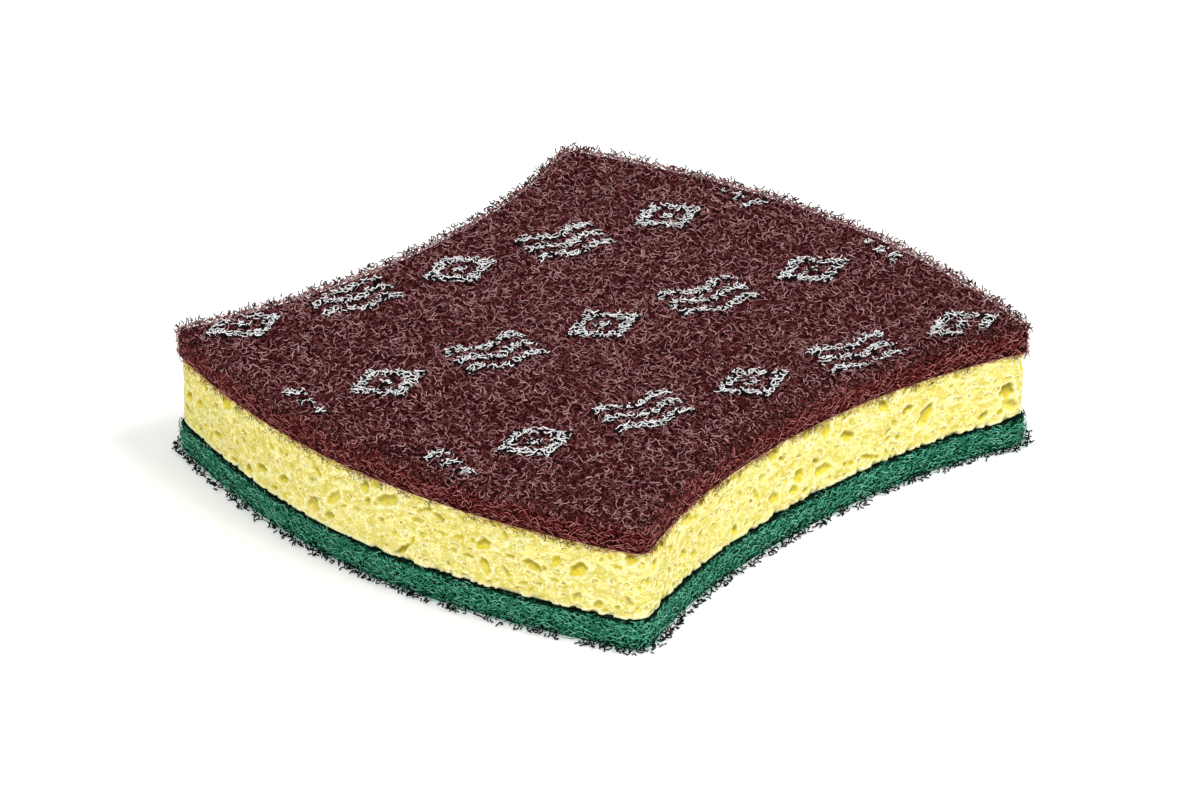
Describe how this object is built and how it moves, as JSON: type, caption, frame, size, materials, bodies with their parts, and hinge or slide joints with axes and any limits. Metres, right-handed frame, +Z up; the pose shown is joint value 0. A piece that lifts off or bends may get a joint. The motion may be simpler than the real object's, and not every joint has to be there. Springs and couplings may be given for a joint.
{
  "type": "abrasive pad",
  "caption": "Layered hand scouring pad: fine maroon abrasive web, yellow cellulose sponge and coarse green abrasive web, with bowed ends and a dipped waist.",
  "frame": {"origin": "centre of the footprint, on the underside of the coarse web", "axes": "+X along the pad towards one bowed end, +Y across it towards one dipped side, +Z up through the layers"},
  "size_m": [0.131, 0.1178, 0.0252],
  "materials": {
    "coarse_web": "coarse non-woven web, matt",
    "sponge_core": "open-pored cellulose, matt",
    "fine_web": "fine non-woven web, matt",
    "white_print": "white ink on the web's fibres"
  },
  "bodies": {
    "root": {"coarse_web": "coarse_web", "sponge_core": "sponge_core", "fine_web": "fine_web", "white_print": "white_print"}
  },
  "joints": []
}
